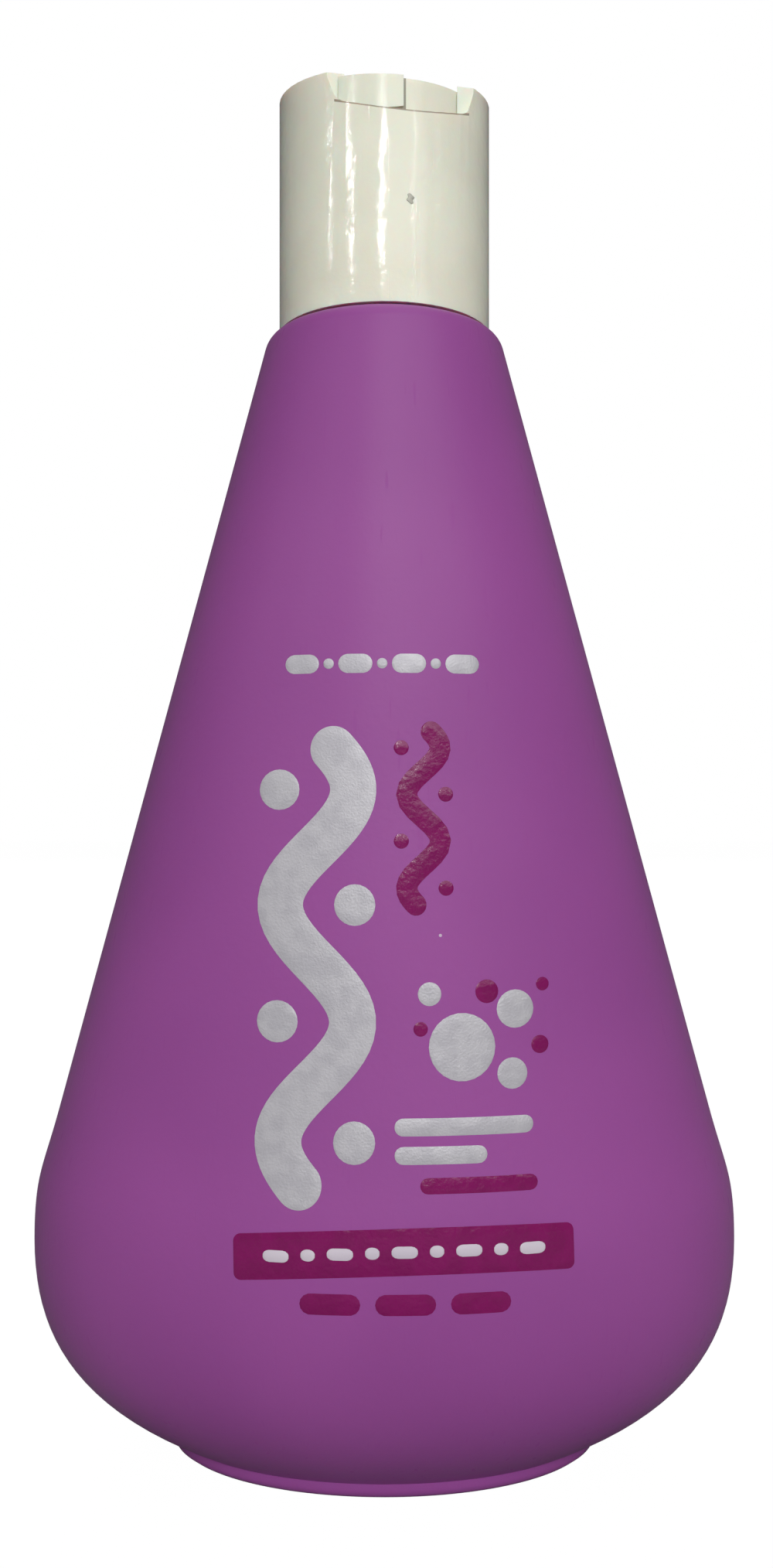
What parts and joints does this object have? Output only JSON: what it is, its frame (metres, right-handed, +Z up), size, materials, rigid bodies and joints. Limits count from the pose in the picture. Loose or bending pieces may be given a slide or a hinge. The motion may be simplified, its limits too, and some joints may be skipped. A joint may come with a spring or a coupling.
{
  "type": "toothpaste pump dispenser",
  "caption": "Oval teardrop-shaped bottle with a white twist-lock press pump, a windowed collar and a flap-closed nozzle.",
  "frame": {"origin": "centre of the bottle's foot, on the surface it stands on", "axes": "+Z up along the pump's axis, -Y towards the printed front, +X to the right as seen from the front"},
  "size_m": [0.088, 0.055, 0.1703],
  "materials": {
    "bottle_purple": "satin blow-moulded polyethylene",
    "head_white": "glossy moulded polypropylene with faint flow lines",
    "flap_white": "soft white elastomer",
    "pump_natural": "translucent natural polypropylene",
    "seal_grey": "soft polyethylene",
    "steel": "drawn stainless wire and a polished ball",
    "paste": "white paste"
  },
  "bodies": {
    "bottle": {"bottle": "bottle_purple", "toothpaste_fill": "paste"},
    "pump_unit": {"neck_gasket": "seal_grey", "pump_housing": "pump_natural", "stem_guide": "head_white", "stem_seal": "seal_grey", "ball_cage": "pump_natural", "dip_tube": "pump_natural", "return_spring": "steel"},
    "collar": {"screw_collar": "head_white"},
    "stem": {"pump_stem": "head_white", "stem_tip": "head_white"},
    "head": {"press_head": "head_white", "press_pad": "head_white", "mouth_flap": "flap_white"},
    "piston": {"pump_piston": "pump_natural"},
    "ball": {"inlet_ball": "steel"}
  },
  "joints": [
    {"name": "collar_rise", "type": "slide", "parent": "bottle", "child": "pump_unit", "axis": [0, 0, 1], "range_m": [0, 0.00397]},
    {"name": "collar_turn", "type": "hinge", "parent": "pump_unit", "child": "collar", "pos_m": [0, 0, 0.145], "axis": [0, 0, 1], "range_deg": [0, 450]},
    {"name": "head_slide", "type": "slide", "parent": "collar", "child": "stem", "axis": [0, 0, 1], "range_m": [0, 0.008], "deforming": ["return_spring"]},
    {"name": "head_turn", "type": "hinge", "parent": "stem", "child": "head", "pos_m": [0, 0, 0.163], "axis": [0, 0, 1], "range_deg": [0, 20]},
    {"name": "piston_lag", "type": "slide", "parent": "stem", "child": "piston", "axis": [0, 0, 1], "range_m": [0, 0.0012]},
    {"name": "ball_lift", "type": "slide", "parent": "pump_unit", "child": "ball", "axis": [0, 0, 1], "range_m": [0, 0.0015]}
  ],
  "couplings": [
    {"joint": "collar_turn", "follows": "collar_rise", "rad_per_m": 1979}
  ]
}
